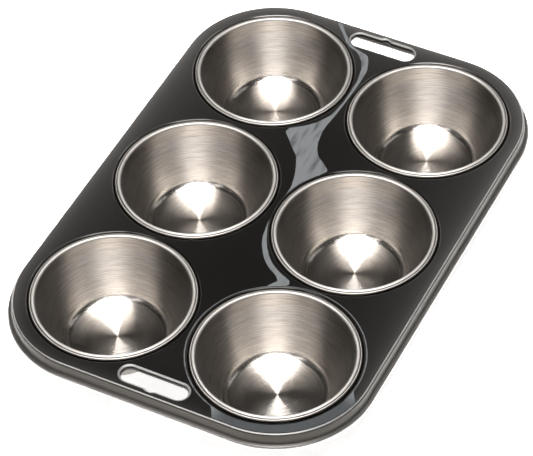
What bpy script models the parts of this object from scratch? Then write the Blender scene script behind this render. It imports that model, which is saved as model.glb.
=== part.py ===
"""A six-cup muffin pan, built as the real one is: a pressed sheet tray, and six drawn cups.

Every piece is sheet metal. Each one is drawn as the middle surface of its sheet, and Solidify gives it
its thickness. A cup's rim is an arch over the upright lip of its hole in the tray, and a small roll
outside it.
The origin is on the table, under the middle of the pan. X is the pan's width and Y its length.
"""

import math

import bmesh
import bpy
from mathutils import Vector

# Sheet
SHEET = 0.0005
PLAY_BESIDE_LIP = 0.0003
SEAT_GAP = 0.0003
CLEAR_OVER_LIP = 0.0004

# Cups
COLUMNS = 2
ROWS = 3
MOUTH_RADIUS = 0.0352
CUP_DEPTH = 0.0287
COLLAR_DEPTH = 0.0072
COLLAR_TAPER = 0.0011
FLOOR_RADIUS = 0.0233
FLOOR_FILLET = 0.0042
ARCH_END = 30.0
ROLL_RADIUS = 0.00056
ROLL_START = 100.0
RIM_LEG_DROP = 0.00032

# Cup grid: the level sheet between neighbouring grooves
LEVEL_ACROSS = 0.0016
LEVEL_ALONG = 0.001

# Tray
GROOVE_WIDTH = 0.0018
GROOVE_DEPTH = 0.001
GROOVE_EDGE_WIDTH = 0.0006
GROOVE_EDGE_DROP = 0.00018
PLAY_BESIDE_RIM = 0.0002
SIDE_MARGIN = 0.00756
END_MARGIN = 0.0073
CORNER_RADIUS = 0.0441
EDGE_FOLD = 0.0012
SKIRT_DROP = 0.0072
BEAD_OVERHANG = 0.001
SKIRT_BEND = 0.0009
BEAD_RADIUS = 0.0013
BEAD_TURN = 300.0

# Slots
SLOT_LENGTH = 0.0324
SLOT_WIDTH = 0.0082
SLOT_EDGE_STRIP = 0.00045
SLOT_FOLD = 0.0015
SLOT_FLANGE = 0.0008
NOTCH_DEPTH = 0.001
NOTCH_WIDTH = 0.006

# How finely round shapes are cut
TURNS = 28
CORNER_STEPS = 8
SLOT_END_STEPS = 8
NOTCH_STEPS = 6
FOLD_STEPS = 3
BEAD_STEPS = 10
BEND_STEPS = 3
ARCH_STEPS = 5
ROLL_STEPS = 3
FILLET_STEPS = 2

# Sizes that follow from those above
HALF_SHEET = SHEET / 2
ARCH_RADIUS = SHEET + PLAY_BESIDE_LIP
ARCH_CENTRE = MOUTH_RADIUS + HALF_SHEET + ARCH_RADIUS
CREASE_RADIUS = ARCH_CENTRE + ARCH_RADIUS * math.cos(math.radians(ARCH_END))
ROLL_CENTRE = CREASE_RADIUS - ROLL_RADIUS * math.cos(math.radians(ROLL_START))
RIM_RADIUS = ROLL_CENTRE + ROLL_RADIUS + HALF_SHEET
GROOVE_RADIUS = RIM_RADIUS + GROOVE_WIDTH
PITCH_ACROSS = 2 * GROOVE_RADIUS + LEVEL_ACROSS
PITCH_ALONG = 2 * GROOVE_RADIUS + LEVEL_ALONG
HALF_WIDTH = PITCH_ACROSS * (COLUMNS - 1) / 2 + RIM_RADIUS + SIDE_MARGIN
HALF_LENGTH = PITCH_ALONG * (ROWS - 1) / 2 + RIM_RADIUS + END_MARGIN
SLOT_INSET = EDGE_FOLD + SLOT_EDGE_STRIP + SLOT_FOLD + NOTCH_DEPTH + SLOT_WIDTH / 2

RIM_TOP = SHEET + CUP_DEPTH
ARCH_SPRING = RIM_TOP - HALF_SHEET - ARCH_RADIUS
CREASE_HEIGHT = ARCH_SPRING + ARCH_RADIUS * math.sin(math.radians(ARCH_END))
ROLL_SPRING = CREASE_HEIGHT - ROLL_RADIUS * math.sin(math.radians(ROLL_START))
LEG_END = ROLL_SPRING - RIM_LEG_DROP
LIP_TOP = ARCH_SPRING + ARCH_RADIUS - HALF_SHEET - CLEAR_OVER_LIP
GROOVE_TOP = LEG_END - SEAT_GAP
DECK_TOP = GROOVE_TOP + GROOVE_DEPTH
DECK_MIDDLE = DECK_TOP - HALF_SHEET
BEAD_HEIGHT = DECK_TOP - SKIRT_DROP


def arc(centre, radius, start, turn, steps):
    """Points on an arc in the drawing plane, from angle start through turn, both in degrees."""
    angles = [math.radians(start + turn * step / steps) for step in range(steps + 1)]
    return [(centre[0] + radius * math.cos(a), centre[1] + radius * math.sin(a)) for a in angles]


def fillet(before, corner, after, radius, steps):
    """An arc of the given radius that replaces the corner between two straight runs."""
    corner = Vector(corner)
    to_before = (Vector(before) - corner).normalized()
    to_after = (Vector(after) - corner).normalized()
    half = to_before.angle(to_after) / 2
    centre = corner + (to_before + to_after).normalized() * radius / math.sin(half)
    first = corner + to_before * radius / math.tan(half) - centre
    last = corner + to_after * radius / math.tan(half) - centre
    turn = first.angle_signed(last)
    points = []
    for step in range(steps + 1):
        a = -turn * step / steps
        spoke = Vector((
            first.x * math.cos(a) - first.y * math.sin(a),
            first.x * math.sin(a) + first.y * math.cos(a),
        ))
        points.append(tuple(centre + spoke))
    return points


def round_rectangle(half_width, half_length, radius, steps):
    """The outline of a rectangle with round corners, counterclockwise."""
    x, y = half_width - radius, half_length - radius
    points = []
    for centre, start in (((x, y), 0), ((-x, y), 90), ((-x, -y), 180), ((x, -y), 270)):
        points += arc(centre, radius, start, 90, steps)
    return points


def circle(centre, radius):
    return arc(centre, radius, 0, 360, TURNS)[:-1]


def slot_outline(end):
    """The outline of the opening of the slot at one end: +1 is the back, -1 the front.

    Its outer long side has a notch whose bottom and mouth are rounded."""
    radius = SLOT_WIDTH / 2
    reach = SLOT_LENGTH / 2 - radius
    points = arc((reach, 0), radius, -90, 180, SLOT_END_STEPS)
    for step in range(NOTCH_STEPS + 1):
        across = 1 - 2 * step / NOTCH_STEPS
        bulge = NOTCH_DEPTH * (1 + math.cos(math.pi * across)) / 2
        points.append((across * NOTCH_WIDTH / 2, radius + bulge))
    points += arc((-reach, 0), radius, 90, 180, SLOT_END_STEPS)
    centre = HALF_LENGTH - SLOT_INSET
    return [(x * end, (centre + y) * end) for x, y in points]


def widened(outline, distance):
    """A closed outline with each point moved out by a distance, square to the outline."""
    moved = []
    for index, point in enumerate(outline):
        here = Vector(point)
        along = (Vector(outline[(index + 1) % len(outline)]) - here).normalized()
        along += (here - Vector(outline[index - 1])).normalized()
        out = Vector((along.y, -along.x)).normalized()
        half = out.angle(Vector((along.y, -along.x)))
        moved.append(tuple(here + out * distance / math.cos(half)))
    return moved


def metal(name, colour, roughness):
    material = bpy.data.materials.new(name)
    material.use_nodes = True
    shader = material.node_tree.nodes["Principled BSDF"]
    shader.inputs["Base Color"].default_value = (*colour, 1.0)
    shader.inputs["Metallic"].default_value = 1.0
    shader.inputs["Roughness"].default_value = roughness
    material.diffuse_color = (*colour, 1.0)
    return material


def add_object(name, mesh, material, collection):
    piece = bpy.data.objects.new(name, mesh)
    piece.data.materials.append(material)
    collection.objects.link(piece)
    return piece


def thicken(piece):
    """Gives a piece its sheet thickness, half on each side of the surface that it was drawn as."""
    sheet = piece.modifiers.new("sheet", "SOLIDIFY")
    sheet.thickness = SHEET
    sheet.offset = 0.0
    sheet.use_even_offset = True


def cup_profile():
    """The middle of a cup's sheet from the end of its rim's outer leg to the middle of its floor."""
    rim = [(ROLL_CENTRE + ROLL_RADIUS, LEG_END)]
    rim += arc((ROLL_CENTRE, ROLL_SPRING), ROLL_RADIUS, 0, ROLL_START, ROLL_STEPS)
    rim += arc((ARCH_CENTRE, ARCH_SPRING), ARCH_RADIUS, ARCH_END, 180 - ARCH_END, ARCH_STEPS)[1:]
    collar = (MOUTH_RADIUS + HALF_SHEET - COLLAR_TAPER, RIM_TOP - COLLAR_DEPTH)
    corner = (FLOOR_RADIUS + HALF_SHEET, HALF_SHEET)
    middle = (0.0, HALF_SHEET)
    floor = fillet(collar, corner, middle, FLOOR_FILLET, FILLET_STEPS)
    return rim + [collar] + floor + [middle]


def make_cup_mesh():
    profile = cup_profile()
    mesh = bpy.data.meshes.new("cup")
    edges = [(index, index + 1) for index in range(len(profile) - 1)]
    mesh.from_pydata([(x, 0.0, z) for x, z in profile], edges, [])
    return mesh


def add_cup(name, place, mesh, material, collection):
    cup = add_object(name, mesh, material, collection)
    cup.location = (*place, 0.0)
    screw = cup.modifiers.new("turned", "SCREW")
    screw.axis = "Z"
    screw.steps = TURNS
    screw.render_steps = TURNS
    screw.use_merge_vertices = True
    screw.merge_threshold = 0.00001
    screw.use_smooth_shade = True
    thicken(cup)
    return cup


def add_outline(curve, outline):
    spline = curve.splines.new("POLY")
    spline.points.add(len(outline) - 1)
    for point, (x, y) in zip(spline.points, outline):
        point.co = (x, y, 0.0, 1.0)
    spline.use_cyclic_u = True


def flat_sheet(outlines):
    """A flat face bounded by the first outline, with the others as its holes."""
    curve = bpy.data.curves.new("flat", "CURVE")
    curve.dimensions = "2D"
    curve.fill_mode = "BOTH"
    for outline in outlines:
        add_outline(curve, outline)
    helper = bpy.data.objects.new("flat", curve)
    bpy.context.scene.collection.objects.link(helper)
    helper.location.z = DECK_MIDDLE
    bpy.context.view_layer.update()
    graph = bpy.context.evaluated_depsgraph_get()
    mesh = bpy.data.meshes.new_from_object(helper.evaluated_get(graph))
    mesh.transform(helper.matrix_world)
    bpy.data.objects.remove(helper)
    return mesh


def loops_of(sheet):
    """The sheet's edge loops, each a list of edges, told apart by walking from edge to edge."""
    waiting = {edge for edge in sheet.edges if edge.is_boundary}
    loops = []
    while waiting:
        walk = [waiting.pop()]
        loop = []
        while walk:
            edge = walk.pop()
            loop.append(edge)
            for vertex in edge.verts:
                for other in vertex.link_edges:
                    if other in waiting:
                        waiting.remove(other)
                        walk.append(other)
        loops.append(loop)
    return loops


def loop_through(loops, point):
    """The edge loop that passes nearest to a point of the deck."""
    place = Vector((*point, DECK_MIDDLE))
    return min(loops, key=lambda loop: min((edge.verts[0].co - place).length for edge in loop))


def outward_at(vertex, loop):
    """The direction in the deck's plane that leads out of the sheet at a point of one of its edges."""
    out = Vector((0.0, 0.0, 0.0))
    for edge in vertex.link_edges:
        if edge not in loop:
            continue
        along = edge.verts[1].co - edge.verts[0].co
        side = Vector((along.y, -along.x, 0.0)).normalized()
        inside = edge.link_faces[0].calc_center_median() - edge.verts[0].co
        out += -side if side.dot(inside) > 0 else side
    length = (out / 2).length
    return out.normalized() / max(length, 0.5)


def bend_edge(sheet, loop, section):
    """Draws the sheet on from one edge loop through a section of (out, height) points."""
    ring = set(loop)
    vertices = {vertex for edge in loop for vertex in edge.verts}
    base = {vertex: (vertex.co.copy(), outward_at(vertex, ring)) for vertex in vertices}
    edges = loop
    for out, height in section:
        grown = bmesh.ops.extrude_edge_only(sheet, edges=edges)["geom"]
        next_base = {}
        for vertex in [item for item in grown if isinstance(item, bmesh.types.BMVert)]:
            root = next(
                edge.other_vert(vertex) for edge in vertex.link_edges if edge.other_vert(vertex) in base
            )
            point, direction = base[root]
            vertex.co = point + direction * out
            vertex.co.z = height
            next_base[vertex] = (point, direction)
        base = next_base
        edges = [item for item in grown if isinstance(item, bmesh.types.BMEdge)]


def rim_section():
    """From the flat deck over the edge fold, down the skirt, out in a bend and round the bead."""
    fold = EDGE_FOLD - HALF_SHEET
    curl = BEAD_RADIUS - HALF_SHEET
    section = arc((0.0, DECK_MIDDLE - fold), fold, 90, -90, FOLD_STEPS)[1:]
    out = EDGE_FOLD + BEAD_OVERHANG
    section += arc((out, BEAD_HEIGHT + curl + SKIRT_BEND), SKIRT_BEND, 180, 90, BEND_STEPS)
    return section + arc((out, BEAD_HEIGHT), curl, 90, -BEAD_TURN, BEAD_STEPS)[1:]


def lip_section():
    """From the flat deck down into the groove round a hole, in under the cup's rim and up the upright lip."""
    middle = GROOVE_TOP - HALF_SHEET
    to_lip = GROOVE_RADIUS - ARCH_CENTRE
    return [
        (GROOVE_EDGE_WIDTH, DECK_MIDDLE - GROOVE_EDGE_DROP),
        (GROOVE_WIDTH - PLAY_BESIDE_RIM, middle),
        (to_lip - HALF_SHEET, middle),
        (to_lip, middle + HALF_SHEET),
        (to_lip, LIP_TOP),
    ]


def slot_section():
    """From the flat deck down over the slot's fold to the end of its flange."""
    fold = SLOT_FOLD - HALF_SHEET
    section = arc((0.0, DECK_MIDDLE - fold), fold, 90, -90, FOLD_STEPS)[1:]
    return section + [(fold, section[-1][1] - SLOT_FLANGE)]


def line_name(index, count, first, last):
    """The name of a row or column, which counts those between the first and the last if they are several."""
    if index == 0:
        return first
    if index == count - 1:
        return last
    return "middle" if count == 3 else f"middle{index}"


def cup_places():
    """The name and place of each cup, row by row from the front."""
    for row in range(ROWS):
        for column in range(COLUMNS):
            x = (column - (COLUMNS - 1) / 2) * PITCH_ACROSS
            y = (row - (ROWS - 1) / 2) * PITCH_ALONG
            row_name = line_name(row, ROWS, "front", "back")
            column_name = line_name(column, COLUMNS, "left", "right")
            yield f"cup_{row_name}_{column_name}", (x, y)


def add_tray(material, collection):
    """The deck with its skirt and bead, six lipped holes and two flanged slots, as one sheet."""
    flat = EDGE_FOLD
    outline = round_rectangle(
        HALF_WIDTH - flat, HALF_LENGTH - flat, CORNER_RADIUS - flat, CORNER_STEPS
    )
    holes = [circle(place, GROOVE_RADIUS) for _, place in cup_places()]
    slots = [widened(slot_outline(end), SLOT_FOLD) for end in (-1, 1)]
    mesh = flat_sheet([outline, *holes, *slots])
    sheet = bmesh.new()
    sheet.from_mesh(mesh)
    bends = [(outline, rim_section())]
    bends += [(hole, lip_section()) for hole in holes]
    bends += [(slot, slot_section()) for slot in slots]
    loops = loops_of(sheet)
    for edge_line, section in bends:
        bend_edge(sheet, loop_through(loops, edge_line[0]), section)
    bmesh.ops.recalc_face_normals(sheet, faces=sheet.faces)
    sheet.to_mesh(mesh)
    sheet.free()
    mesh.shade_smooth()
    tray = add_object("deck_tray", mesh, material, collection)
    thicken(tray)
    return tray


def main():
    for item in list(bpy.data.objects):
        bpy.data.objects.remove(item)
    collection = bpy.data.collections.new("muffin_pan")
    bpy.context.scene.collection.children.link(collection)
    polished = metal("polished_steel", (0.16, 0.15, 0.15), 0.08)
    brushed = metal("brushed_steel", (0.62, 0.58, 0.54), 0.35)
    add_tray(polished, collection)
    cup_mesh = make_cup_mesh()
    for name, place in cup_places():
        add_cup(name, place, cup_mesh, brushed, collection)


main()
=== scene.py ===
"""The looks of the six-cup muffin pan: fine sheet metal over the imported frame, its metals and the studio.

The tray and the cups are drawn again here with fine folds, in the places that the frame gives, and each
stands for its own solid. Lengths are metres and angles are degrees, where a comment doesn't say otherwise.
The camera stands where the photograph was taken from.
"""

import math

import bpy
from mathutils import Matrix, Vector
from mathutils.geometry import delaunay_2d_cdt


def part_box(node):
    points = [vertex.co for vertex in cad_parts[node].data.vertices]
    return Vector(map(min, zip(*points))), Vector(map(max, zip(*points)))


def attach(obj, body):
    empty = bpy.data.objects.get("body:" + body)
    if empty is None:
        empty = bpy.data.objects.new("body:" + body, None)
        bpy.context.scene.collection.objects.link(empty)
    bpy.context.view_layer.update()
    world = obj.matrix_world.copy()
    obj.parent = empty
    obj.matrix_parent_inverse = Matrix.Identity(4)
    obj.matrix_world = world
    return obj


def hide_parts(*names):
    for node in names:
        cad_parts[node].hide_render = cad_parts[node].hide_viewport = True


# Sheet and cups
SHEET = 0.0005
FLOOR_RADIUS = 0.0233
FLOOR_FILLET = 0.0042
COLLAR_DEPTH = 0.0072
COLLAR_TAPER = 0.0011
MOUTH_RADIUS = 0.0352
ROLL_RADIUS = 0.001
ROLL_START = 172.0
OUTER_ROLL_RADIUS = 0.00048
OUTER_ROLL_DROP = 0.00045
LEG_END_DROP = 0.00155
ARCH_INSIDE_RADIUS = 0.0007
ARCH_OFF_WALL = 0.0001
ARCH_OVER_LEG_END = 0.0002

# The crimping presses the outer roll in and down by up to twice the wave. The waves swell and fade in beats.
CRIMP_WAVE = 0.000006
CRIMPS = 46
CRIMP_BEATS = 5
# It reaches this far in from the rim's edge and this far down from its top
CRIMP_REACH = 2.2 * OUTER_ROLL_RADIUS
CRIMP_DROP = 0.0014

# Tray
GROOVE_WIDTH = 0.0018
GROOVE_DEPTH = 0.001
GROOVE_PLAY = 0.0002
GROOVE_FLOOR_DROP = 0.00185
LIP_HEIGHT = 0.0011
CORNER_RADIUS = 0.0441
EDGE_FOLD = 0.0012
SKIRT_DROP = 0.0072
BEAD_OVERHANG = 0.001
SKIRT_BEND = 0.0009
BEAD_RADIUS = 0.0013
BEAD_TURN = 300.0

# Slots
SLOT_LENGTH = 0.0324
SLOT_WIDTH = 0.0082
SLOT_EDGE_STRIP = 0.00045
SLOT_FOLD = 0.0015
SLOT_FLANGE = 0.0008
NOTCH_DEPTH = 0.001
NOTCH_WIDTH = 0.006

# To stay within the solids' box, the cups are drawn this far above the table and the tray this far inside
# the box's sides
CLEAR_OF_TABLE = 0.000001
CLEAR_OF_SIDES = 0.000002

# How finely round shapes and straight walls are cut
CUP_TURNS = 144
SECTION_STEPS = 10
GROOVE_STEPS = 15
WALL_STEP = 0.002
# The level sheet's points are this far apart, with rows at this share of it. No point of the inside is
# nearer to a point of an edge than the clear share.
DECK_STEP = 0.0022
ROW_SHARE = 0.866
CLEAR_SHARE = 0.55
EDGE_STEP = DECK_STEP
# A run is cut once more only if it is longer than its steps by this share of one
STEP_SLACK = 0.001
# An outline's corner moves by at most this many times the distance that its runs move
MITRE_LIMIT = 2.0
# Rings of points this far in from the edges keep the shading of the folds off the level sheet
GUARD = 0.0003
# The runs of a round hole's edge dip inside its circle, so the sheet starts at this share of the radius
HOLE_SHARE = 0.9999
# Triangles are kept only inside the edges, and points nearer than this are one
ONLY_INSIDE = 1
SAME_PLACE = 1e-7

# Polished metal of the tray
POLISHED = (0.085, 0.08, 0.076)
POLISHED_ROUGHNESS = 0.06
POLISHED_METAL = 0.58
# The skirt is painted darker than the level sheet it is bent from, in fine lines: painted shade
SKIRT_SHADE_DARK = (0.009, 0.007, 0.005)
SKIRT_SHADE_LIGHT = (0.037, 0.03, 0.021)
SKIRT_ROUGHNESS = 0.36
# The bead is painted much lighter than the sheet it is rolled from: a painted highlight
BEAD_HIGHLIGHT_COLOUR = (0.5, 0.476, 0.452)
BEAD_ROUGHNESS = 0.24
# The top of the level sheet lies within this of the deck's top
LEVEL_PLAY = SHEET / 10
# The fold keeps the sheet's colour down to the first of these depths and has lost it at the second
FOLD_COLOUR_DEPTHS = (0.0001, 0.0005)
# A painted highlight, a light line, follows the first part of the fold. It is full down to its depth, and
# gone at the fade's multiple of that depth.
FOLD_HIGHLIGHT_COLOUR = (0.85, 0.82, 0.79)
FOLD_LINE_ROUGHNESS = 0.4
FOLD_LINE_FADE = 1.5
SLOT_LINE_DEPTH = 0.00045
EDGE_LINE_DEPTH = 0.00025
# The level sheet is painted paler near its edge, a painted reflection: this many times the polished colour
# at this distance from it, and less with the root of the distance. The change for each metre along x and y,
# painted light across the pan, comes on top.
PAINTED_EDGE_PALENESS = 4.1
PALE_DISTANCE = 0.0033
PALE_NEAREST = 0.002
PALE_CHANGE = (-2.0, 3.2)
# Along the front, from the second distance from the middle to the first, this painted reflection falls to
# this share
PALE_FRONT = 0.62
PALE_FRONT_FALL = (0.119, 0.096)

# Brushed metal of the cups and their rims
BRUSHED_DARK = (0.26, 0.241, 0.222)
BRUSHED_LIGHT = (0.57, 0.531, 0.492)
WALL_ROUGHNESS = 0.28
FLOOR_ROUGHNESS = 0.215
BRUSHED_STRETCH = 0.95
QUARTER_TURN = 0.25
RIM_DARK = (0.26, 0.243, 0.226)
RIM_LIGHT = (0.44, 0.417, 0.394)
RIM_ROUGHNESS = 0.58
# Painted shade for the crease between the rim's two rolls, and its width
CREASE_SHADE_COLOUR = (0.035, 0.03, 0.026)
CREASE_WIDTH = 0.0004
GRAIN_DEPTH = 0.000002
FLOOR_RING_DEPTH = 0.000015
# The cups' floors mirror as if dished: their slope grows by this much for each metre from the middle
FLOOR_DISH = 1.0

# Noise drawn out into lines: its scale along them and across them, its detail and its roughness
GRAIN_LINES = (130.0, 6000.0, 3.0, 0.6)
BAND_LINES = (40.0, 2400.0, 2.0, 0.5)
RIM_LINES = (60.0, 5000.0, 2.0, 0.5)
SKIRT_LINES = (40.0, 4000.0, 2.0, 0.6)
GRAIN_SHARE = 0.7
# The lines are dark below the first of these levels of the noise and light above the second
LINE_LEVELS = (0.3, 0.7)

# Undulation of the polished sheet
RIPPLE_DEPTH = 0.00005
RIPPLE_SCALE = 45.0

# The sheet leans a little along a band down its middle and round the cup at the front right, and shows a
# lamp there. The lean towards x and y: in the middle of the pan, and its change for each metre along x
# and y. It wavers between two shares of that, in patches drawn out along the pan.
LEAN_TO_X = (0.0568, -0.5685, -0.1018)
LEAN_TO_Y = (-0.1045, -0.0678, -0.4087)
LEAN_SOFT = 0.001
LEAN_ROUGHNESS = 0.1
WAVER_SHARES = (0.7, 1.3)
WAVER_STRETCH = 5.0
# Points of the band in millimetres: y, and x at its left and right side
MILLIMETRE = 0.001
LEAN_BAND = (
    (-48, 18.5, 18),
    (-45, 19.5, 23.5),
    (-41.5, 22, 28),
    (-39, 20, 27),
    (-36, 15, 20),
    (-33, 11.5, 15.5),
    (-30, 9, 12.5),
    (-25, 5.8, 8.8),
    (-20, 3.6, 6),
    (-12, 2, 3.3),
    (-4, 1.2, 2.3),
    (6, 1.6, 3),
    (14, 1.4, 4.4),
    (20, 0, 6.8),
    (27, -2.5, 11),
    (30, -4, 13),
    (33, -5.6, 9.5),
    (37, -9.5, 4.5),
    (41, -13, 2),
    (45, -17, 0.5),
    (48, -16.5, 0),
    (52, -11, -0.8),
    (57, -6, -0.8),
    (64, -2.3, 0),
    (75, -0.7, 0.6),
    (90, -1, 1),
    (98, -2.6, 0.8),
    (104, -5.5, -1.2),
    (108.5, -9.5, -3.5),
    (111, -16, -12.5),
    (118, -22, -19.8),
    (124, -28, -24.5),
)
# Both sides are held as shares of a range that reaches this many millimetres either way from the middle
BAND_RANGE = 50.0
# The ring round the cup: its width, how much more it is at its front, which way that is, and between which
# cosines of the angle from there the front begins. The sheet's colour falls to the last share there, as
# painted shade.
RING_CUP = "cup_front_right"
RING_WIDTH = 0.0002
RING_FRONT = 0.008
RING_WAY = (0.54, -0.84)
RING_FRONT_TURN = (0.62, 0.8)
RING_FRONT_PAINTED_SHADE = 0.2

# Studio
FLOOR_HALF = 6.0
FLOOR_COLOUR = (0.85, 0.85, 0.85)
FLOOR_GLOW = 0.78
WORLD_LOW = (0.105, 0.105, 0.105)
WORLD_HIGH = (0.009, 0.0087, 0.0087)
WORLD_HIGH_FROM = 0.12
WHITE = (1.0, 1.0, 1.0)
BLUISH = (0.86, 0.94, 1.0)

# Lamps
LAMP_DISTANCE = 1.5
CAMERA_SIDE = 152.0
FAR_SIDE = -28.0
OVERHEAD = {"azimuth": 155.0, "elevation": 78.0, "half_angle": (12.0, 15.0)}

# Camera, from the fit of the rims and outline to the photograph. The lens and sensor are in millimetres.
CAMERA_PLACE = (0.41405, -0.77475, 0.94598)
CAMERA_AIM = (-0.00314, -0.00304, 0.0146)
CAMERA_ROLL = 2.464
CAMERA_LENS = 186.9
CAMERA_NEAREST = 0.01
SENSOR_WIDTH = 36.0

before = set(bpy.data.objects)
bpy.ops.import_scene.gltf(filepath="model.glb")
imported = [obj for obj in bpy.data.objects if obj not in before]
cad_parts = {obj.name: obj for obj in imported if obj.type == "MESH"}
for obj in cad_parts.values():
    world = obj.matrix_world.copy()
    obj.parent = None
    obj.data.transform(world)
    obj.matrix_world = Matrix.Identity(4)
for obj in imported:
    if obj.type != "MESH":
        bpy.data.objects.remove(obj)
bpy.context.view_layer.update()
CUP_NODES = sorted(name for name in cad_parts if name.startswith("cup_"))
TRAY_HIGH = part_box("deck_tray")[1]


def cup_centre(node):
    """The middle of a cup's solid."""
    low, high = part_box(node)
    return (low + high) / 2


CUP_PLACES = {node: cup_centre(node) for node in CUP_NODES}
RIM_RADIUS = max((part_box(node)[1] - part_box(node)[0]).x for node in CUP_NODES) / 2
RIM_TOP = max(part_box(node)[1].z for node in CUP_NODES) - CLEAR_OF_TABLE
ROLLS_APART = RIM_RADIUS - OUTER_ROLL_RADIUS - MOUTH_RADIUS - ROLL_RADIUS
CREASE_FROM_ROLL = (ROLLS_APART**2 + ROLL_RADIUS**2 - OUTER_ROLL_RADIUS**2) / (2 * ROLLS_APART)
CREASE_RADIUS = MOUTH_RADIUS + ROLL_RADIUS + CREASE_FROM_ROLL
GROOVE_RADIUS = RIM_RADIUS + GROOVE_WIDTH
GROOVE_TOP = RIM_TOP - GROOVE_FLOOR_DROP
DECK_TOP = GROOVE_TOP + GROOVE_DEPTH
DECK_MIDDLE = DECK_TOP - SHEET / 2
SKIRT_INSET = BEAD_OVERHANG + BEAD_RADIUS + CLEAR_OF_SIDES
HALF_WIDTH = TRAY_HIGH.x - SKIRT_INSET
HALF_LENGTH = TRAY_HIGH.y - SKIRT_INSET
SLOT_INSET = EDGE_FOLD + SLOT_EDGE_STRIP + SLOT_FOLD + NOTCH_DEPTH + SLOT_WIDTH / 2
SLOT_MIDDLE = HALF_LENGTH - SLOT_INSET


def arc(centre, radius, start, turn, steps):
    """Points on an arc in the drawing plane, from angle start through turn."""
    angles = [math.radians(start + turn * step / steps) for step in range(steps + 1)]
    return [(centre[0] + radius * math.cos(a), centre[1] + radius * math.sin(a)) for a in angles]


def fillet(before, corner, after, radius, steps):
    """An arc of the given radius that replaces the corner between two straight runs."""
    corner = Vector(corner)
    to_before = (Vector(before) - corner).normalized()
    to_after = (Vector(after) - corner).normalized()
    half = to_before.angle(to_after) / 2
    centre = corner + (to_before + to_after).normalized() * radius / math.sin(half)
    first = corner + to_before * radius / math.tan(half) - centre
    last = corner + to_after * radius / math.tan(half) - centre
    turn = first.angle_signed(last)
    points = []
    for step in range(steps + 1):
        a = -turn * step / steps
        spoke = Vector((
            first.x * math.cos(a) - first.y * math.sin(a),
            first.x * math.sin(a) + first.y * math.cos(a),
        ))
        points.append(tuple(centre + spoke))
    return points


def divided(points, step, closed):
    """The same line with more points, none further apart than the step."""
    ends = points[1:] + points[:1] if closed else points[1:]
    result = []
    for (x0, y0), (x1, y1) in zip(points, ends):
        count = max(1, math.ceil(math.hypot(x1 - x0, y1 - y0) / step - STEP_SLACK))
        result += [(x0 + (x1 - x0) * n / count, y0 + (y1 - y0) * n / count) for n in range(count)]
    return result if closed else result + points[-1:]


def circle(centre, radius, steps):
    """Points round a circle, counterclockwise."""
    return arc(centre, radius, 0, 360, steps)[:-1]


def round_rectangle(half_width, half_length, radius, steps):
    """The outline of a rectangle with round corners, counterclockwise."""
    x, y = half_width - radius, half_length - radius
    points = []
    for centre, start in (((x, y), 0), ((-x, y), 90), ((-x, -y), 180), ((x, -y), 270)):
        points += arc(centre, radius, start, 90, steps)
    return points


def slot_outline(end):
    """The outline of the opening of the slot at one end: +1 is the back, -1 the front."""
    radius = SLOT_WIDTH / 2
    reach = SLOT_LENGTH / 2 - radius
    points = arc((reach, 0), radius, -90, 180, 2 * SECTION_STEPS)
    for step in range(2 * SECTION_STEPS + 1):
        across = 1 - step / SECTION_STEPS
        bulge = NOTCH_DEPTH * (1 + math.cos(math.pi * across)) / 2
        points.append((across * NOTCH_WIDTH / 2, radius + bulge))
    points += arc((-reach, 0), radius, 90, 180, 2 * SECTION_STEPS)
    return [(x * end, (SLOT_MIDDLE + y) * end) for x, y in points]


def outward(outline):
    """The way square to a counterclockwise outline at each of its points, scaled to keep runs parallel."""
    directions = []
    for index, point in enumerate(outline):
        here = Vector(point)
        ahead = (Vector(outline[(index + 1) % len(outline)]) - here).normalized()
        behind = (here - Vector(outline[index - 1])).normalized()
        along = (ahead + behind).normalized()
        out = Vector((along.y, -along.x))
        directions.append(out / max(1 / MITRE_LIMIT, out.dot(Vector((ahead.y, -ahead.x)))))
    return directions


def widened(outline, distance):
    """The outline moved outward by a distance."""
    return [tuple(Vector(p) + d * distance) for p, d in zip(outline, outward(outline))]


def new_piece(name, points, faces, materials, sharp=False):
    """A mesh object in the scene."""
    mesh = bpy.data.meshes.new(name)
    mesh.from_pydata(points, [], faces)
    mesh.validate()
    if not sharp:
        mesh.shade_smooth()
    piece = bpy.data.objects.new(name, mesh)
    bpy.context.scene.collection.objects.link(piece)
    for material in materials:
        mesh.materials.append(material)
    return piece


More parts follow.
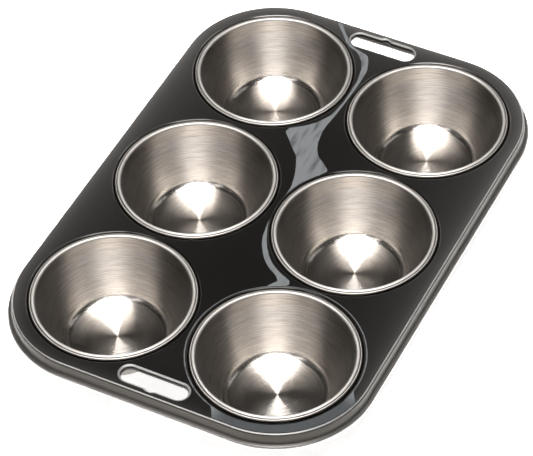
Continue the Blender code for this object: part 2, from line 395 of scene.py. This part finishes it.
def cup_section():
    """The closed section of a cup's sheet: the face seen from above, then back along the outside."""
    half = SHEET / 2
    roll = (MOUTH_RADIUS + ROLL_RADIUS, RIM_TOP - ROLL_RADIUS)
    outer_roll = (RIM_RADIUS - OUTER_ROLL_RADIUS, RIM_TOP - OUTER_ROLL_DROP - OUTER_ROLL_RADIUS)
    collar = (MOUTH_RADIUS - COLLAR_TAPER, RIM_TOP - COLLAR_DEPTH)
    collar_outside = (collar[0] + SHEET, collar[1])
    inner_corner = (FLOOR_RADIUS, SHEET)
    outer_corner = (FLOOR_RADIUS + SHEET, 0.0)
    crease = math.degrees(math.acos(CREASE_FROM_ROLL / ROLL_RADIUS))
    outer_crease = math.degrees(math.acos((ROLLS_APART - CREASE_FROM_ROLL) / OUTER_ROLL_RADIUS))
    seen = [(0.0, SHEET)]
    seen += fillet((0.0, SHEET), inner_corner, collar, FLOOR_FILLET - half, SECTION_STEPS)
    seen += divided([seen[-1], collar], WALL_STEP, False)[1:]
    seen += divided([collar, (MOUTH_RADIUS, roll[1])], WALL_STEP, False)[1:-1]
    seen += arc(roll, ROLL_RADIUS, ROLL_START, crease - ROLL_START, 2 * SECTION_STEPS)
    seen += arc(outer_roll, OUTER_ROLL_RADIUS, 180 - outer_crease, outer_crease - 180, SECTION_STEPS)
    leg_end = RIM_TOP - LEG_END_DROP
    seen.append((RIM_RADIUS, leg_end))
    arch = (MOUTH_RADIUS + SHEET + ARCH_INSIDE_RADIUS + ARCH_OFF_WALL, leg_end + ARCH_OVER_LEG_END)
    hidden = [(RIM_RADIUS - SHEET, leg_end)]
    hidden += arc(arch, ARCH_INSIDE_RADIUS, 0, 180, SECTION_STEPS)
    hidden += divided([(arch[0] - ARCH_INSIDE_RADIUS, arch[1]), collar_outside], WALL_STEP, False)
    outside = fillet(collar, outer_corner, (0.0, 0.0), FLOOR_FILLET + half, SECTION_STEPS)
    hidden += divided([collar_outside, outside[0]], WALL_STEP, False)[1:]
    hidden += outside[1:] + [(0.0, 0.0)]
    return seen, hidden


def crimped_share(radius, height):
    """How far a point of the section is out on the crimped outer roll, from 0 to 1."""
    if height <= RIM_TOP - CRIMP_DROP:
        return 0.0
    return min(1.0, max(0.0, (radius - (RIM_RADIUS - CRIMP_REACH)) / OUTER_ROLL_RADIUS))


def cup_ring(radius, height, index):
    """The ring that one point of the section makes round the axis, pressed a little by the crimping."""
    if radius == 0.0:
        return [(0.0, 0.0, height)]
    ring = []
    press = crimped_share(radius, height) * CRIMP_WAVE
    for turn in range(CUP_TURNS):
        a = 2 * math.pi * turn / CUP_TURNS
        wave = math.sin(CRIMPS * a + index) * math.sin(CRIMP_BEATS * a + 2 * index) - 1.0
        r = radius + press * wave
        ring.append((r * math.cos(a), r * math.sin(a), height + press * wave))
    return ring


def faces_between(one, other):
    """The faces between two rings of point numbers, where either may be a single point on the axis."""
    faces = []
    for turn in range(CUP_TURNS):
        after = (turn + 1) % CUP_TURNS
        if len(one) == 1:
            faces.append((one[0], other[turn], other[after]))
        elif len(other) == 1:
            faces.append((one[turn], other[0], one[after]))
        else:
            faces.append((one[turn], other[turn], other[after], one[after]))
    return faces


def make_cup(node, index, materials):
    """One cup turned about its own axis. The faces of its rim have the second material."""
    seen, hidden = cup_section()
    points = []
    faces = []
    rings = []
    for radius, height in seen + hidden:
        ring = cup_ring(radius, height, index)
        rings.append(range(len(points), len(points) + len(ring)))
        points += ring
    for one, other in zip(rings, rings[1:]):
        faces += faces_between(one, other)
    cup = new_piece(node.replace("cup", "visual_cup"), points, faces, materials)
    for face in cup.data.polygons:
        if min(points[n][2] for n in face.vertices) > RIM_TOP - ROLL_RADIUS:
            face.material_index = 1
    place = CUP_PLACES[node]
    cup.location = (place.x, place.y, CLEAR_OF_TABLE)
    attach(cup, "root")
    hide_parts(node)
    return cup


def rim_rings():
    """From the level sheet over the edge fold, down the skirt, out in a bend and round the bead."""
    fold = EDGE_FOLD - SHEET / 2
    curl = BEAD_RADIUS - SHEET / 2
    section = arc((0.0, DECK_MIDDLE - fold), fold, 90, -90, SECTION_STEPS)[1:]
    out = EDGE_FOLD + BEAD_OVERHANG
    height = DECK_TOP - SKIRT_DROP
    bend = arc((out, height + curl + SKIRT_BEND), SKIRT_BEND, 180, 90, SECTION_STEPS)
    section += divided([section[-1], bend[0]], WALL_STEP, False)[1:-1] + bend
    return section + arc((out, height), curl, 90, -BEAD_TURN, 3 * SECTION_STEPS)[1:]


def groove_rings():
    """From the level sheet down the soft side of the groove, in under the rim and up the lip."""
    middle = GROOVE_TOP - SHEET / 2
    run = GROOVE_WIDTH - GROOVE_PLAY
    rings = []
    for step in range(1, GROOVE_STEPS + 1):
        share = step / GROOVE_STEPS
        rings.append((run * share, DECK_MIDDLE - GROOVE_DEPTH * (1 - math.cos(math.pi * share)) / 2))
    lip = GROOVE_RADIUS - (MOUTH_RADIUS + RIM_RADIUS) / 2
    rings += [(lip - SHEET / 2, middle), (lip, middle + SHEET / 2), (lip, middle + LIP_HEIGHT)]
    return rings


def slot_rings():
    """From the level sheet down over the slot's fold to the end of its flange."""
    fold = SLOT_FOLD - SHEET / 2
    section = arc((0.0, DECK_MIDDLE - fold), fold, 90, -90, SECTION_STEPS)[1:]
    return section + [(fold, section[-1][1] - SLOT_FLANGE)]


def within_outline(x, y):
    """Whether a place lies inside the outline of the level sheet."""
    radius = CORNER_RADIUS - EDGE_FOLD
    over_x = max(0.0, abs(x) - (HALF_WIDTH - EDGE_FOLD - radius))
    over_y = max(0.0, abs(y) - (HALF_LENGTH - EDGE_FOLD - radius))
    return math.hypot(over_x, over_y) < radius


def inside_slot(x, y):
    """Whether a place lies within the fold line of a slot, taken as a stadium with its notch."""
    radius = SLOT_WIDTH / 2 + SLOT_FOLD
    reach = max(0.0, abs(x) - (SLOT_LENGTH - SLOT_WIDTH) / 2)
    along = abs(y) - SLOT_MIDDLE
    if math.hypot(reach, along) < radius:
        return True
    return abs(x) < NOTCH_WIDTH / 4 and 0 < along < radius + NOTCH_DEPTH / 2


def is_sheet(x, y):
    """Whether a place within the outline lies on the level sheet, clear of the holes and slots."""
    if inside_slot(x, y):
        return False
    return all(math.hypot(x - p.x, y - p.y) > GROOVE_RADIUS * HOLE_SHARE for p in CUP_PLACES.values())


def inner_points(edge_points):
    """Evenly spread points of the level sheet, clear of its edges."""
    taken = {}
    for x, y in edge_points:
        taken.setdefault((round(x / DECK_STEP), round(y / DECK_STEP)), []).append((x, y))
    around = [(i, j) for i in (-1, 0, 1) for j in (-1, 0, 1)]
    points = []
    for row in range(int(2 * HALF_LENGTH / DECK_STEP / ROW_SHARE)):
        y = -HALF_LENGTH + row * DECK_STEP * ROW_SHARE
        shift = DECK_STEP / 2 if row % 2 else 0.0
        for column in range(int(2 * HALF_WIDTH / DECK_STEP)):
            x = -HALF_WIDTH + column * DECK_STEP + shift
            if not within_outline(x, y) or not is_sheet(x, y):
                continue
            cell = (round(x / DECK_STEP), round(y / DECK_STEP))
            near = [p for i, j in around for p in taken.get((cell[0] + i, cell[1] + j), [])]
            if all(math.hypot(x - p[0], y - p[1]) > DECK_STEP * CLEAR_SHARE for p in near):
                points.append((x, y))
    return points


def level_sheet(loops, guards):
    """The level sheet's points and triangles, and the numbers of its points along each loop."""
    flat = []
    edges = []
    for loop in loops + guards:
        start = len(flat)
        flat += loop
        edges += [(start + n, start + (n + 1) % len(loop)) for n in range(len(loop))]
    flat += inner_points(flat)
    flat = [Vector(point) for point in flat]
    placed, _, triangles, came_from, _, _ = delaunay_2d_cdt(flat, edges, [], ONLY_INSIDE, SAME_PLACE)
    faces = []
    for face in triangles:
        middle = sum((placed[n] for n in face), Vector((0, 0))) / 3
        if is_sheet(middle.x, middle.y):
            faces.append(tuple(face))
    place_of = {source: new for new, sources in enumerate(came_from) for source in sources}
    rings = []
    start = 0
    for loop in loops:
        rings.append([place_of[start + n] for n in range(len(loop))])
        start += len(loop)
    return [(p.x, p.y, DECK_MIDDLE) for p in placed], faces, rings


def bend_sheet(points, faces, loop, side, section, ring):
    """Adds the sheet that goes on from a loop along a section, outward (side 1) or into a hole (side -1)."""
    directions = outward(loop)
    for out, height in section:
        grown = []
        for (x, y), direction in zip(loop, directions):
            grown.append(len(points))
            points.append((x + direction.x * out * side, y + direction.y * out * side, height))
        for n in range(len(loop)):
            m = (n + 1) % len(loop)
            face = (ring[n], grown[n], grown[m], ring[m])
            faces.append(face if side > 0 else face[::-1])
        ring = grown


def make_tray(materials):
    """The deck with its skirt and bead, six grooved holes and two flanged slots, as one sheet."""
    corner = CORNER_RADIUS - EDGE_FOLD
    outline = round_rectangle(HALF_WIDTH - EDGE_FOLD, HALF_LENGTH - EDGE_FOLD, corner, 3 * SECTION_STEPS)
    outline = divided(outline, EDGE_STEP, True)
    holes = [circle(place.xy, GROOVE_RADIUS, CUP_TURNS) for place in CUP_PLACES.values()]
    slots = [divided(widened(slot_outline(end), SLOT_FOLD), EDGE_STEP / 2, True) for end in (-1, 1)]
    bends = [(outline, 1, rim_rings())]
    bends += [(hole, -1, groove_rings()) for hole in holes]
    bends += [(slot, -1, slot_rings()) for slot in slots]
    guards = [widened(loop, -side * GUARD) for loop, side, _ in bends]
    points, faces, rings = level_sheet([loop for loop, _, _ in bends], guards)
    for (loop, side, section), ring in zip(bends, rings):
        bend_sheet(points, faces, loop, side, section, ring)
    tray = new_piece("visual_tray", points, faces, materials)
    sheet = tray.modifiers.new("sheet", "SOLIDIFY")
    sheet.thickness = SHEET
    sheet.offset = 0.0
    sheet.use_even_offset = True
    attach(tray, "root")
    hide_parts("deck_tray")
    return tray


def new_material(name):
    """A material with its node tree and shader."""
    material = bpy.data.materials.new(name)
    material.use_nodes = True
    return material, material.node_tree, material.node_tree.nodes["Principled BSDF"]


def put(tree, value, socket):
    """Gives an input socket its value, from an output socket or as a plain number."""
    if isinstance(value, (int, float)):
        socket.default_value = value
    else:
        tree.links.new(value, socket)


def math_node(tree, operation, first, second=None):
    """A Math node over sockets or plain numbers. Gives its output socket, as the functions after it do."""
    node = tree.nodes.new("ShaderNodeMath")
    node.operation = operation
    put(tree, first, node.inputs[0])
    if second is not None:
        put(tree, second, node.inputs[1])
    return node.outputs[0]


def plus(tree, first, second):
    """The sum of two values."""
    return math_node(tree, "ADD", first, second)


def minus(tree, first, second):
    """The first value less the second."""
    return math_node(tree, "SUBTRACT", first, second)


def times(tree, first, second):
    """The product of two values."""
    return math_node(tree, "MULTIPLY", first, second)


def rest_of(tree, share):
    """What a share leaves of 1."""
    return minus(tree, 1.0, share)


def between(tree, share, low, high):
    """A value that goes from low to high, both plain numbers, as the share goes from 0 to 1."""
    return plus(tree, times(tree, share, high - low), low)


def length_of(tree, x, y):
    """How far a point is from the middle of its plane."""
    return math_node(tree, "POWER", plus(tree, times(tree, x, x), times(tree, y, y)), 0.5)


def beyond(tree, value, limit):
    """How far a value lies beyond a limit, on either side of zero. Less than zero is within it."""
    return minus(tree, math_node(tree, "ABSOLUTE", value), limit)


def smooth_step(tree, value, low, high):
    """A share that goes softly from 0 to 1 as the value goes from low to high."""
    node = tree.nodes.new("ShaderNodeMapRange")
    node.interpolation_type = "SMOOTHSTEP"
    tree.links.new(value, node.inputs["Value"])
    node.inputs["From Min"].default_value = low
    node.inputs["From Max"].default_value = high
    return node.outputs["Result"]


def blend(tree, share, first, second):
    """A colour that goes from the first to the second. Each is a socket or a plain colour."""
    mix = tree.nodes.new("ShaderNodeMix")
    mix.data_type = "RGBA"
    tree.links.new(share, mix.inputs["Factor"])
    for name, colour in (("A", first), ("B", second)):
        if isinstance(colour, tuple):
            mix.inputs[name].default_value = (*colour, 1.0)
        else:
            tree.links.new(colour, mix.inputs[name])
    return mix.outputs["Result"]


def position(tree):
    """The point in the object's own frame: the vector, x, y and z."""
    place = tree.nodes.new("ShaderNodeTexCoord").outputs["Object"]
    split = tree.nodes.new("ShaderNodeSeparateXYZ")
    tree.links.new(place, split.inputs[0])
    return place, split.outputs["X"], split.outputs["Y"], split.outputs["Z"]


def vector(tree, x, y, z):
    """A vector of three values."""
    node = tree.nodes.new("ShaderNodeCombineXYZ")
    for socket, value in zip(node.inputs, (x, y, z)):
        put(tree, value, socket)
    return node.outputs[0]


def vector_node(tree, operation):
    """A Vector Math node, for the caller to fill."""
    node = tree.nodes.new("ShaderNodeVectorMath")
    node.operation = operation
    return node


def noise(tree, where, scale, detail, roughness=0.5):
    """Noise at a place, mostly between 0.3 and 0.7."""
    node = tree.nodes.new("ShaderNodeTexNoise")
    node.inputs["Scale"].default_value = scale
    node.inputs["Detail"].default_value = detail
    node.inputs["Roughness"].default_value = roughness
    tree.links.new(where, node.inputs["Vector"])
    return node.outputs["Fac"]


def streaks(tree, x, y, across, lines):
    """Noise drawn out into fine lines that run round the pan or the cup, one beside the other across."""
    scale_along, scale_across, detail, roughness = lines
    where = vector(tree, times(tree, x, scale_along), times(tree, y, scale_along),
                   times(tree, across, scale_across))
    return noise(tree, where, 1.0, detail, roughness)


def add_bump(tree, shader, height, base=None):
    """Bumps the shader's surface by a height in metres, on top of a base normal if there is one."""
    bump = tree.nodes.new("ShaderNodeBump")
    bump.inputs["Strength"].default_value = 1.0
    bump.inputs["Distance"].default_value = 1.0
    tree.links.new(height, bump.inputs["Height"])
    if base is not None:
        tree.links.new(base, bump.inputs["Normal"])
    tree.links.new(bump.outputs["Normal"], shader.inputs["Normal"])


def stretch_round_axis(tree, shader):
    """Draws the shader's highlights out across circles round the z axis, as brushing in circles does."""
    shader.distribution = "GGX"
    shader.inputs["Anisotropic"].default_value = BRUSHED_STRETCH
    shader.inputs["Anisotropic Rotation"].default_value = QUARTER_TURN
    tangent = tree.nodes.new("ShaderNodeTangent")
    tangent.direction_type = "RADIAL"
    tangent.axis = "Z"
    tree.links.new(tangent.outputs[0], shader.inputs["Tangent"])


def brushed_metal():
    """Satin steel, brushed in circles round the cup's axis. The cup's frame has its axis in the middle."""
    material, tree, shader = new_material("brushed_steel")
    _, x, y, z = position(tree)
    radius = length_of(tree, x, y)
    across = plus(tree, radius, z)
    grain = streaks(tree, x, y, across, GRAIN_LINES)
    band = streaks(tree, x, y, across, BAND_LINES)
    tone = plus(tree, times(tree, grain, GRAIN_SHARE), times(tree, band, 1.0 - GRAIN_SHARE))
    colour = blend(tree, smooth_step(tree, tone, *LINE_LEVELS), BRUSHED_DARK, BRUSHED_LIGHT)
    tree.links.new(colour, shader.inputs["Base Color"])
    shader.inputs["Metallic"].default_value = 1.0
    wall = smooth_step(tree, z, FLOOR_FILLET / 4, FLOOR_FILLET)
    tree.links.new(between(tree, wall, FLOOR_ROUGHNESS, WALL_ROUGHNESS), shader.inputs["Roughness"])
    stretch_round_axis(tree, shader)
    on_floor = math_node(tree, "LESS_THAN", z, FLOOR_FILLET / 4)
    dish = times(tree, times(tree, radius, radius), FLOOR_DISH / 2)
    rings = plus(tree, dish, times(tree, band, FLOOR_RING_DEPTH))
    height = plus(tree, times(tree, rings, on_floor), times(tree, grain, GRAIN_DEPTH))
    add_bump(tree, shader, height)
    return material


def rim_metal():
    """Satin steel of the rims, with fine lines along them and painted shade in the crease between their two
    rolls.
    """
    material, tree, shader = new_material("rolled_steel")
    _, x, y, z = position(tree)
    radius = length_of(tree, x, y)
    lines = streaks(tree, x, y, plus(tree, radius, z), RIM_LINES)
    colour = blend(tree, smooth_step(tree, lines, *LINE_LEVELS), RIM_DARK, RIM_LIGHT)
    # Painted shade: a dark colour along the crease between the rolls
    off = math_node(tree, "ABSOLUTE", minus(tree, radius, CREASE_RADIUS))
    crease = rest_of(tree, smooth_step(tree, off, CREASE_WIDTH / 4, CREASE_WIDTH * 3 / 4))
    tree.links.new(blend(tree, crease, colour, CREASE_SHADE_COLOUR), shader.inputs["Base Color"])
    shader.inputs["Metallic"].default_value = 1.0
    shader.inputs["Roughness"].default_value = RIM_ROUGHNESS
    return material


def lean_band(tree, x, y):
    """Where the sheet leans along its middle: 1 within the band, going softly to 0 at its sides.

    A colour ramp along the pan holds x at the band's left side as its red and at the right side as its
    green, both as shares of the range.
    """
    ramp = tree.nodes.new("ShaderNodeValToRGB")
    stops = ramp.color_ramp.elements
    while len(stops) < len(LEAN_BAND):
        stops.new(0.5)
    for stop, (along, left, right) in zip(stops, LEAN_BAND):
        stop.position = (along * MILLIMETRE / HALF_LENGTH + 1) / 2
        stop.color = ((left / BAND_RANGE + 1) / 2, (right / BAND_RANGE + 1) / 2, 0.0, 1.0)
    share_along = plus(tree, times(tree, y, 0.5 / HALF_LENGTH), 0.5)
    tree.links.new(share_along, ramp.inputs["Fac"])
    split = tree.nodes.new("ShaderNodeSeparateXYZ")
    tree.links.new(ramp.outputs["Color"], split.inputs[0])
    shares_per_metre = 0.5 / (BAND_RANGE * MILLIMETRE)
    place = plus(tree, times(tree, x, shares_per_metre), 0.5)
    past_left = minus(tree, place, split.outputs["X"])
    before_right = minus(tree, split.outputs["Y"], place)
    inside = math_node(tree, "MINIMUM", past_left, before_right)
    soft = LEAN_SOFT * shares_per_metre / 3
    return smooth_step(tree, inside, -soft, soft)


def lean_ring(tree, x, y):
    """Where the sheet leans round one cup: a narrow ring, wide at its front, and where that front is."""
    place = CUP_PLACES[RING_CUP]
    across = minus(tree, x, place.x)
    along = minus(tree, y, place.y)
    radius = length_of(tree, across, along)
    ahead = plus(tree, times(tree, across, RING_WAY[0]), times(tree, along, RING_WAY[1]))
    front = smooth_step(tree, math_node(tree, "DIVIDE", ahead, radius), *RING_FRONT_TURN)
    edge = plus(tree, times(tree, front, RING_FRONT), GROOVE_RADIUS + RING_WIDTH)
    past = minus(tree, radius, edge)
    return rest_of(tree, smooth_step(tree, past, 0.0, LEAN_SOFT)), front


def full_lean(tree, x, y, way):
    """The full lean one way at a place on the sheet."""
    return plus(tree, plus(tree, times(tree, x, way[1]), times(tree, y, way[2])), way[0])


def leaning_normal(tree, x, y, lean):
    """The surface's normal, tilted where the sheet leans."""
    waver = noise(tree, vector(tree, times(tree, x, WAVER_STRETCH), y, 0.0), RIPPLE_SCALE, 1.0)
    amount = times(tree, lean, between(tree, waver, *WAVER_SHARES))
    to_x = times(tree, amount, full_lean(tree, x, y, LEAN_TO_X))
    to_y = times(tree, amount, full_lean(tree, x, y, LEAN_TO_Y))
    tilted = vector_node(tree, "ADD")
    tree.links.new(tree.nodes.new("ShaderNodeNewGeometry").outputs["Normal"], tilted.inputs[0])
    tree.links.new(vector(tree, to_x, to_y, 0.0), tilted.inputs[1])
    unit = vector_node(tree, "NORMALIZE")
    tree.links.new(tilted.outputs[0], unit.inputs[0])
    return unit.outputs[0]


def inward_of_edge(tree, x, y):
    """How far a place lies inside the outline of the folded edge."""
    past_x = beyond(tree, x, HALF_WIDTH - CORNER_RADIUS)
    past_y = beyond(tree, y, HALF_LENGTH - CORNER_RADIUS)
    over_x = math_node(tree, "MAXIMUM", past_x, 0.0)
    over_y = math_node(tree, "MAXIMUM", past_y, 0.0)
    in_corner = length_of(tree, over_x, over_y)
    in_middle = math_node(tree, "MINIMUM", math_node(tree, "MAXIMUM", past_x, past_y), 0.0)
    return minus(tree, CORNER_RADIUS, plus(tree, in_corner, in_middle))


def painted_paleness(tree, x, y, inward):
    """How many times paler than the polished colour the level sheet is painted at a place, a painted
    reflection.
    """
    root = math_node(tree, "POWER", math_node(tree, "MAXIMUM", inward, PALE_NEAREST), -0.5)
    near_edge = times(tree, root, PAINTED_EDGE_PALENESS * PALE_DISTANCE**0.5)
    behind_front = smooth_step(tree, y, -PALE_FRONT_FALL[0], -PALE_FRONT_FALL[1])
    near_edge = times(tree, near_edge, between(tree, behind_front, PALE_FRONT, 1.0))
    change = plus(tree, times(tree, x, PALE_CHANGE[0]), times(tree, y, PALE_CHANGE[1]))
    return times(tree, near_edge, plus(tree, change, 1.0))


def sheet_colour(tree, pale, leans, ring_front):
    """The level sheet's colour, with painted light: a painted reflection paler towards its edge, and painted
    shade darker on the front of the leaning ring.
    """
    # Painted shade on the front of the leaning ring
    ring_scale = rest_of(tree, times(tree, ring_front, 1.0 - RING_FRONT_PAINTED_SHADE))
    paler = times(tree, minus(tree, pale, 1.0), rest_of(tree, leans))
    colour = vector_node(tree, "SCALE")
    colour.inputs[0].default_value = POLISHED
    tree.links.new(plus(tree, paler, ring_scale), colour.inputs["Scale"])
    return colour.outputs[0]


def fold_start(tree, z, depth):
    """Where the sheet lies under its level part by no more than a depth, from 0 to 1."""
    under = rest_of(tree, smooth_step(tree, z, DECK_TOP - LEVEL_PLAY, DECK_TOP))
    above = smooth_step(tree, z, DECK_TOP - FOLD_LINE_FADE * depth, DECK_TOP - depth)
    return times(tree, under, above)


def painted_fold_highlight(tree, x, y, z, inward):
    """Where a painted highlight follows the sheet as it begins to fold down round a slot or along the edge,
    from 0 to 1.
    """
    reach = math_node(tree, "MAXIMUM", beyond(tree, x, (SLOT_LENGTH - SLOT_WIDTH) / 2), 0.0)
    from_slot = length_of(tree, reach, beyond(tree, y, SLOT_MIDDLE))
    near_slot = math_node(tree, "LESS_THAN", from_slot, SLOT_WIDTH / 2 + SLOT_FOLD + NOTCH_DEPTH)
    near_edge = math_node(tree, "LESS_THAN", inward, EDGE_FOLD + SHEET)
    slot_line = times(tree, near_slot, fold_start(tree, z, SLOT_LINE_DEPTH))
    edge_line = times(tree, near_edge, fold_start(tree, z, EDGE_LINE_DEPTH))
    return plus(tree, slot_line, edge_line)


def polished_metal():
    """Dark mirror-polished steel, whose colour holds painted light. Its level sheet leans in places and has
    a slight ripple.
    """
    material, tree, shader = new_material("polished_steel")
    place, x, y, z = position(tree)
    inward = inward_of_edge(tree, x, y)
    ring, ring_front = lean_ring(tree, x, y)
    leans = math_node(tree, "MAXIMUM", lean_band(tree, x, y), ring)
    # The sheet's colour holds painted light: a painted reflection near the edge and painted shade on the
    # ring's front
    sheet = sheet_colour(tree, painted_paleness(tree, x, y, inward), leans, times(tree, ring_front, ring))
    # The skirt's painted shade, in fine lines
    lines = streaks(tree, x, y, z, SKIRT_LINES)
    skirt = blend(tree, smooth_step(tree, lines, *LINE_LEVELS), SKIRT_SHADE_DARK, SKIRT_SHADE_LIGHT)
    # The bead's painted highlight
    bead_top = DECK_TOP - SKIRT_DROP + BEAD_RADIUS
    bead = rest_of(tree, smooth_step(tree, z, bead_top - BEAD_RADIUS / 3, bead_top + SKIRT_BEND / 2))
    keeps, loses = FOLD_COLOUR_DEPTHS
    side = rest_of(tree, smooth_step(tree, z, DECK_TOP - loses, DECK_TOP - keeps))
    colour = blend(tree, side, sheet, blend(tree, bead, skirt, BEAD_HIGHLIGHT_COLOUR))
    # A painted highlight: a light colour along the start of each fold
    line = painted_fold_highlight(tree, x, y, z, inward)
    tree.links.new(blend(tree, line, colour, FOLD_HIGHLIGHT_COLOUR), shader.inputs["Base Color"])
    shader.inputs["Metallic"].default_value = POLISHED_METAL
    level = math_node(tree, "GREATER_THAN", z, DECK_TOP - LEVEL_PLAY)
    lean = times(tree, leans, level)
    side_roughness = between(tree, bead, SKIRT_ROUGHNESS, BEAD_ROUGHNESS)
    rough = POLISHED_ROUGHNESS
    for share, other in ((lean, LEAN_ROUGHNESS), (line, FOLD_LINE_ROUGHNESS), (side, side_roughness)):
        rough = plus(tree, rough, times(tree, share, minus(tree, other, POLISHED_ROUGHNESS)))
    tree.links.new(rough, shader.inputs["Roughness"])
    ripple = times(tree, noise(tree, place, RIPPLE_SCALE, 1.0), RIPPLE_DEPTH)
    add_bump(tree, shader, times(tree, ripple, level), leaning_normal(tree, x, y, lean))
    return material


def add_camera():
    """The camera at the photograph's place, turned about its line of sight by the roll."""
    camera = bpy.data.objects.new("camera", bpy.data.cameras.new("camera"))
    bpy.context.scene.collection.objects.link(camera)
    place = Vector(CAMERA_PLACE)
    look = (Vector(CAMERA_AIM) - place).to_track_quat("-Z", "Y").to_matrix()
    roll = Matrix.Rotation(math.radians(-CAMERA_ROLL), 3, "Z")
    camera.matrix_world = Matrix.Translation(place) @ (look @ roll).to_4x4()
    camera.data.sensor_fit = "HORIZONTAL"
    camera.data.sensor_width = SENSOR_WIDTH
    camera.data.lens = CAMERA_LENS
    camera.data.clip_start = CAMERA_NEAREST
    bpy.context.scene.camera = camera


def floor_paint():
    """Pale paint that glows where the camera or a mirror sees it, and so looks white there."""
    material = bpy.data.materials.new("pale_floor")
    material.use_nodes = True
    tree = material.node_tree
    tree.nodes.clear()
    diffuse = tree.nodes.new("ShaderNodeBsdfDiffuse")
    diffuse.inputs["Color"].default_value = (*FLOOR_COLOUR, 1.0)
    path = tree.nodes.new("ShaderNodeLightPath")
    seen = math_node(tree, "MAXIMUM", path.outputs["Is Camera Ray"], path.outputs["Is Glossy Ray"])
    seen = math_node(tree, "MAXIMUM", seen, path.outputs["Is Transmission Ray"])
    glow = tree.nodes.new("ShaderNodeEmission")
    tree.links.new(times(tree, seen, FLOOR_GLOW), glow.inputs["Strength"])
    both = tree.nodes.new("ShaderNodeAddShader")
    tree.links.new(diffuse.outputs[0], both.inputs[0])
    tree.links.new(glow.outputs[0], both.inputs[1])
    out = tree.nodes.new("ShaderNodeOutputMaterial")
    tree.links.new(both.outputs[0], out.inputs["Surface"])
    return material


def add_floor():
    """The plain floor that the pan stands on."""
    near, far = -FLOOR_HALF, FLOOR_HALF
    corners = [(near, near, 0.0), (far, near, 0.0), (far, far, 0.0), (near, far, 0.0)]
    floor = new_piece("floor", corners, [(0, 1, 2, 3)], [floor_paint()], sharp=True)
    return floor


def add_softbox(name, azimuth, elevation, half_angle, radiance, colour=WHITE, distance=LAMP_DISTANCE):
    """A flat lamp that faces the pan and fills the half angles (across, up) as seen from there.

    Azimuth is from +Y towards +X, seen from above. Radiance 1 is as bright as white paper looks.
    """
    lamp = bpy.data.lights.new(name, "AREA")
    lamp.shape = "RECTANGLE"
    lamp.size = 2 * distance * math.tan(math.radians(half_angle[0]))
    lamp.size_y = 2 * distance * math.tan(math.radians(half_angle[1]))
    lamp.energy = radiance * lamp.size * lamp.size_y * math.pi
    lamp.color = colour
    holder = bpy.data.objects.new(name, lamp)
    bpy.context.scene.collection.objects.link(holder)
    a, e = math.radians(azimuth), math.radians(elevation)
    way = Vector((math.sin(a) * math.cos(e), math.cos(a) * math.cos(e), math.sin(e)))
    across = Vector((math.cos(a), -math.sin(a), 0.0))
    turn = Matrix((across, way.cross(across), way)).transposed()
    holder.matrix_world = Matrix.Translation(way * distance) @ turn.to_4x4()
    return holder


def light_only(lamp, pieces):
    """Keeps the lamp's light to these pieces."""
    group = bpy.data.collections.new(lamp.name + "_lights")
    for piece in pieces:
        group.objects.link(piece)
    lamp.light_linking.receiver_collection = group


def add_world():
    """A dark studio, a little lighter low down, and white where the camera looks straight at it."""
    world = bpy.data.worlds.new("studio")
    bpy.context.scene.world = world
    world.use_nodes = True
    tree = world.node_tree
    split = tree.nodes.new("ShaderNodeSeparateXYZ")
    tree.links.new(tree.nodes.new("ShaderNodeTexCoord").outputs["Generated"], split.inputs[0])
    ramp = tree.nodes.new("ShaderNodeValToRGB")
    low, high = ramp.color_ramp.elements
    low.position = 0.0
    low.color = (*WORLD_LOW, 1.0)
    high.position = WORLD_HIGH_FROM
    high.color = (*WORLD_HIGH, 1.0)
    tree.links.new(split.outputs["Z"], ramp.inputs["Fac"])
    straight = tree.nodes.new("ShaderNodeLightPath").outputs["Is Camera Ray"]
    colour = blend(tree, straight, ramp.outputs["Color"], WHITE)
    tree.links.new(colour, tree.nodes["Background"].inputs["Color"])


def add_lamps(tray, others):
    """The studio's lamps.

    Overhead are a broad bright one and a second past it. Both would turn the polished tray white when it
    is seen from above, so they light all but the tray, which has a weaker one in the place of the first.
    A weak low row stands on the camera's side and another on the far side. Two narrow lamps brighten the
    edges along the front and the right side. The far-off streak lamp is what the sheet mirrors where it
    leans.
    """
    for turn in (-50, -25, 0, 25, 50):
        add_softbox("low", CAMERA_SIDE + turn, elevation=8.0, half_angle=(12.0, 10.0), radiance=1.1)
    light_only(add_softbox("top", radiance=32.0, **OVERHEAD), others)
    far = add_softbox("far", FAR_SIDE, elevation=80.0, half_angle=(11.0, 8.0), radiance=22.0)
    light_only(far, others)
    light_only(add_softbox("over_tray", radiance=5.0, **OVERHEAD), [tray])
    for turn in (-44, 0, 44):
        add_softbox("far_low", FAR_SIDE + turn, elevation=22.0, half_angle=(16.0, 9.0), radiance=0.8)
    add_softbox("front_edge", azimuth=208.0, elevation=58.0, half_angle=(5.0, 14.0), radiance=3.0)
    add_softbox("right_edge", azimuth=28.0, elevation=52.0, half_angle=(3.0, 10.0), radiance=3.0)
    add_softbox("streak", FAR_SIDE, elevation=60.0, half_angle=(4.0, 1.6), radiance=5.2,
                colour=BLUISH, distance=4 * LAMP_DISTANCE)


def main():
    """Makes the pieces and the studio."""
    polished = polished_metal()
    brushed = brushed_metal()
    rolled = rim_metal()
    tray = make_tray([polished])
    cups = [make_cup(node, index, [brushed, rolled]) for index, node in enumerate(CUP_NODES)]
    floor = add_floor()
    add_camera()
    add_world()
    add_lamps(tray, cups + [floor])
    bpy.context.scene.view_settings.view_transform = "Standard"


main()
